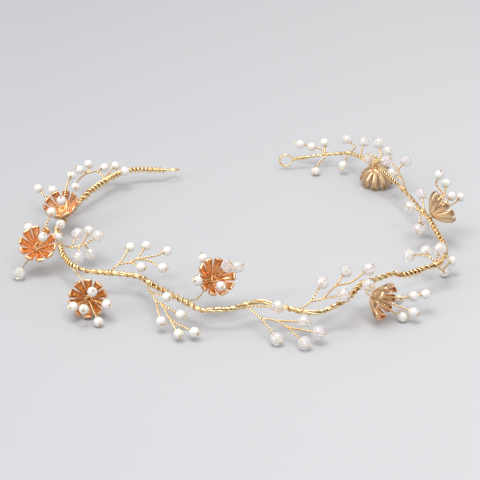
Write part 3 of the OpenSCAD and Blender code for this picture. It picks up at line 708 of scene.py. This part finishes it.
def stamped_cup(seed):
    """One cup. Its petals differ a little in height and heading, as hand-set ones do."""
    cup = bmesh.new()
    across = cup.verts.layers.float.new("across")
    grime_and_shade = cup.verts.layers.float.new("grime_and_shade")
    rand = Random(seed)
    for p in range(petals):
        made = bmesh.ops.create_grid(cup, x_segments=10, y_segments=20, size=1)["verts"]
        faces = {face for vert in made for face in vert.link_faces}
        tip = {face for face in faces if face.calc_center_median().y > tip_from}
        swing, stand = rand.uniform(-0.05, 0.05), rand.uniform(-0.3, 0.3)
        for vert in made:
            vert[across] = vert.co.x
            t = (vert.co.y + 1) / 2 * (len(petal_rows) - 1)
            vert.co, vert[grime_and_shade] = petal_spot(t, vert.co.x)
            grown_part = max(t - 2, 0) / (len(petal_rows) - 3)
            vert.co.y += vert.co.x * swing * grown_part
            vert.co.z += stand * grown_part
        for face in faces:
            # Faces along the rims get the pale metal of the painted highlight.
            at_rim = all(abs(vert[across]) > rim_from for vert in face.verts)
            face.material_index = RIM if at_rim else TIP if face in tip else INSIDE
        round_hole = Matrix.Rotation(p * tau / petals, 3, "Z")
        bmesh.ops.rotate(cup, verts=made, cent=(0, 0, 0), matrix=round_hole)
    bmesh.ops.remove_doubles(cup, verts=cup.verts, dist=0.02)
    bmesh.ops.recalc_face_normals(cup, faces=cup.faces)
    if sum(face.normal.z for face in cup.faces) < 0:
        bmesh.ops.reverse_faces(cup, faces=cup.faces)
    return cup


# The last colour of each is the painted shade in the petals' pockets and creases.
rose_inside = metal(
    "rose_gold_inside", (1.0, 0.72, 0.43), (0.95, 0.44, 0.19), (0.24, 0.06, 0.022), 0.2, 420)
rose_outside = metal(
    "rose_gold_outside", (1.0, 0.75, 0.47), (0.94, 0.58, 0.31), (0.16, 0.06, 0.025), 0.27, 240)
# Painted highlight: the rims take a paler, less metallic gold for the light that their edges catch.
rose_lit_rim = metal(
    "rose_gold_lit_rim", (1.0, 0.92, 0.82), (1.0, 0.84, 0.70), (0.8, 0.5, 0.32), 0.24, 240)
rose_lit_rim.node_tree.nodes["Principled BSDF"].inputs["Metallic"].default_value = 0.55
for i, (flower, s, via, rest) in enumerate(flowers, 1):
    x, y, z, heading, rise, turn = flower
    cup = stamped_cup(60 + i)
    bmesh.ops.transform(cup, verts=cup.verts, matrix=(
        Matrix.Scale(0.001, 4) @ Matrix.Translation(placed(x, y, z + cup_lift))
        @ Matrix.Rotation(radians(heading), 4, "Z") @ Matrix.Rotation(radians(90 - rise), 4, "Y")
        @ Matrix.Rotation(radians(turn), 4, "Z")))
    mesh = bpy.data.meshes.new(f"flower_{i}_cup")
    cup.to_mesh(mesh)
    cup.free()
    for face in mesh.polygons:
        face.use_smooth = True
    for front, back in ((rose_inside, rose_outside), (rose_lit_rim, rose_lit_rim), (rose_inside, rose_inside)):
        mesh.materials.append(front)
        mesh.materials.append(back)
    piece = bpy.data.objects.new(f"flower_{i}_cup", mesh)
    bpy.context.scene.collection.objects.link(piece)
    wall = piece.modifiers.new("sheet", "SOLIDIFY")
    wall.thickness = sheet_t / 1000
    wall.offset = -1
    wall.material_offset = 1
    wall.material_offset_rim = 2
    smooth = piece.modifiers.new("smooth", "SUBSURF")
    smooth.levels = smooth.render_levels = 1
    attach(piece, "root")
    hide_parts(f"flower_{i}")

# Pearls. Round glass pearls with a nacre coat, drilled through, each threaded on
# its own turn of wire.
pearl_bore, pearl_rows, pearl_sides = 0.44, 16, 28
bead_turn = 0.7


def spun(profile, steps):
    """Closed profile of radii and heights spun round the Z axis."""
    made = bmesh.new()
    ring = [made.verts.new((r, 0, h)) for r, h in profile]
    edges = [made.edges.new(pair) for pair in zip(ring, ring[1:] + ring[:1])]
    bmesh.ops.spin(made, geom=ring + edges, cent=(0, 0, 0), axis=(0, 0, 1), dvec=(0, 0, 0),
                   angle=tau, steps=steps, use_merge=True, use_duplicate=False)
    bmesh.ops.remove_doubles(made, verts=made.verts, dist=0.001)
    bmesh.ops.recalc_face_normals(made, faces=made.faces)
    return made


def threaded(name, node, finish, bead, knots, kind, smooth):
    """Every bead of one kind on a set of knots, as one piece."""
    strung = bmesh.new()
    for n, knot in enumerate(k for k in knots if k.carries == kind):
        before = len(strung.verts)
        strung.from_mesh(bead)
        strung.verts.ensure_lookup_table()
        bmesh.ops.transform(strung, verts=strung.verts[before:], matrix=(
            Matrix.Scale(0.001, 4) @ Matrix.Translation(knot.spot)
            @ Vector((0, 0, 1)).rotation_difference(knot.way).to_matrix().to_4x4()
            @ Matrix.Rotation(n * bead_turn, 4, "Z")))
    mesh = bpy.data.meshes.new(name)
    strung.to_mesh(mesh)
    strung.free()
    mesh.materials.append(finish)
    for face in mesh.polygons:
        face.use_smooth = smooth
    piece = bpy.data.objects.new(name, mesh)
    bpy.context.scene.collection.objects.link(piece)
    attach(piece, "root")
    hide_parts(node)


nacre = bpy.data.materials.new("nacre")
nacre.use_nodes = True
nodes, links = nacre.node_tree.nodes, nacre.node_tree.links
shader = nodes["Principled BSDF"]
shader.inputs["Roughness"].default_value = 0.28
shader.inputs["IOR"].default_value = 1.6
shader.inputs["Sheen Weight"].default_value = 0.35
shader.inputs["Sheen Roughness"].default_value = 0.4
shader.inputs["Coat Weight"].default_value = 0.7
shader.inputs["Coat Roughness"].default_value = 0.08
shader.inputs["Thin Film Thickness"].default_value = 420
shader.inputs["Thin Film IOR"].default_value = 1.5
spot = nodes.new("ShaderNodeTexCoord")
clouds = nodes.new("ShaderNodeTexNoise")
clouds.inputs["Scale"].default_value = 260
clouds.inputs["Detail"].default_value = 2
tones = nodes.new("ShaderNodeValToRGB")
tones.color_ramp.elements[0].position = 0.35
tones.color_ramp.elements[0].color = (0.90, 0.83, 0.84, 1)
tones.color_ramp.elements[1].position = 0.65
tones.color_ramp.elements[1].color = (0.87, 0.89, 0.80, 1)
ripple = nodes.new("ShaderNodeBump")
ripple.inputs["Strength"].default_value = 0.05
ripple.inputs["Distance"].default_value = 0.0001
links.new(spot.outputs["Object"], clouds.inputs["Vector"])
links.new(clouds.outputs["Fac"], tones.inputs["Fac"])
links.new(tones.outputs["Color"], shader.inputs["Base Color"])
links.new(clouds.outputs["Fac"], ripple.inputs["Height"])
links.new(ripple.outputs["Normal"], shader.inputs["Normal"])

mouth = acos(pearl_bore / pearl_r)
tilts = [-mouth + 2 * mouth * n / pearl_rows for n in range(pearl_rows + 1)]
turned = spun([(pearl_r * cos(a), pearl_r * sin(a)) for a in tilts], pearl_sides)
pearl = bpy.data.meshes.new("pearl")
turned.to_mesh(pearl)
turned.free()
for i, (s, rows) in enumerate(sprigs, 1):
    if any(row[4] == ROUND for row in rows):
        threaded(f"sprig_{i}_pearl_beads", f"sprig_{i}_pearls", nacre, pearl,
                 knots_of(s, rows), ROUND, True)
for i, (flower, s, via, rest) in enumerate(flowers, 1):
    if any(row[4] == ROUND for row in rest):
        threaded(f"flower_{i}_pearl_beads", f"flower_{i}_pearls", nacre, pearl,
                 knots_of(s, flower_rows(flower, via, rest)), ROUND, True)

# Cut beads. Clear glass with a faint rainbow coat, cut with rows of facets that
# stagger round the bead, and drilled along its length.
# Radius and height of each row of corners, from one mouth of the hole to the other
cut_rows = [
    (0.46, -2.4), (1.25, -2.4), (2.15, -1.55), (2.62, -0.55),
    (2.62, 0.55), (2.15, 1.55), (1.25, 2.4), (0.46, 2.4),
]
staggered, cut_sides, bore_wall_r = (2, 4, 6), 10, 0.6
ground = spun(cut_rows, cut_sides)
for vert in ground.verts:
    misses = [abs(vert.co.z - h) + abs(vert.co.xy.length - r) for r, h in cut_rows]
    if misses.index(min(misses)) in staggered:
        vert.co = Matrix.Rotation(pi / cut_sides, 3, "Z") @ vert.co
facets = [face for face in ground.faces if face.calc_center_median().xy.length > bore_wall_r]
bmesh.ops.triangulate(ground, faces=facets)
cut_bead = bpy.data.meshes.new("cut_bead")
ground.to_mesh(cut_bead)
ground.free()

cut_glass = bpy.data.materials.new("cut_glass")
cut_glass.use_nodes = True
nodes, links = cut_glass.node_tree.nodes, cut_glass.node_tree.links
shader = nodes["Principled BSDF"]
shader.inputs["Transmission Weight"].default_value = 0.72
shader.inputs["Coat Weight"].default_value = 0.6
shader.inputs["Coat IOR"].default_value = 1.9
shader.inputs["Coat Roughness"].default_value = 0.02
shader.inputs["IOR"].default_value = 1.45
# Painted glow: a faint white emission stands in for the light that passes through the glass.
shader.inputs["Emission Color"].default_value = (1, 0.98, 0.99, 1)
shader.inputs["Emission Strength"].default_value = 0.04
shader.inputs["Thin Film Thickness"].default_value = 430
shader.inputs["Thin Film IOR"].default_value = 1.5
spot = nodes.new("ShaderNodeTexCoord")
haze = nodes.new("ShaderNodeTexNoise")
haze.inputs["Scale"].default_value = 300
polish = nodes.new("ShaderNodeMapRange")
polish.inputs["To Min"].default_value = 0.0
polish.inputs["To Max"].default_value = 0.06
tones = nodes.new("ShaderNodeValToRGB")
tones.color_ramp.elements[0].position = 0.38
tones.color_ramp.elements[0].color = (1.0, 0.93, 1.0, 1)
tones.color_ramp.elements[1].position = 0.6
tones.color_ramp.elements[1].color = (1.0, 1.0, 0.90, 1)
links.new(spot.outputs["Object"], haze.inputs["Vector"])
links.new(haze.outputs["Fac"], polish.inputs["Value"])
links.new(haze.outputs["Fac"], tones.inputs["Fac"])
links.new(polish.outputs["Result"], shader.inputs["Roughness"])
links.new(tones.outputs["Color"], shader.inputs["Base Color"])
for i, (s, rows) in enumerate(sprigs, 1):
    if any(row[4] == CUT for row in rows):
        threaded(f"sprig_{i}_glass_beads", f"sprig_{i}_cut_beads", cut_glass, cut_bead,
                 knots_of(s, rows), CUT, False)
for i, (flower, s, via, rest) in enumerate(flowers, 1):
    if any(row[4] == CUT for row in rest):
        threaded(f"flower_{i}_glass_beads", f"flower_{i}_cut_beads", cut_glass, cut_bead,
                 knots_of(s, flower_rows(flower, via, rest)), CUT, False)
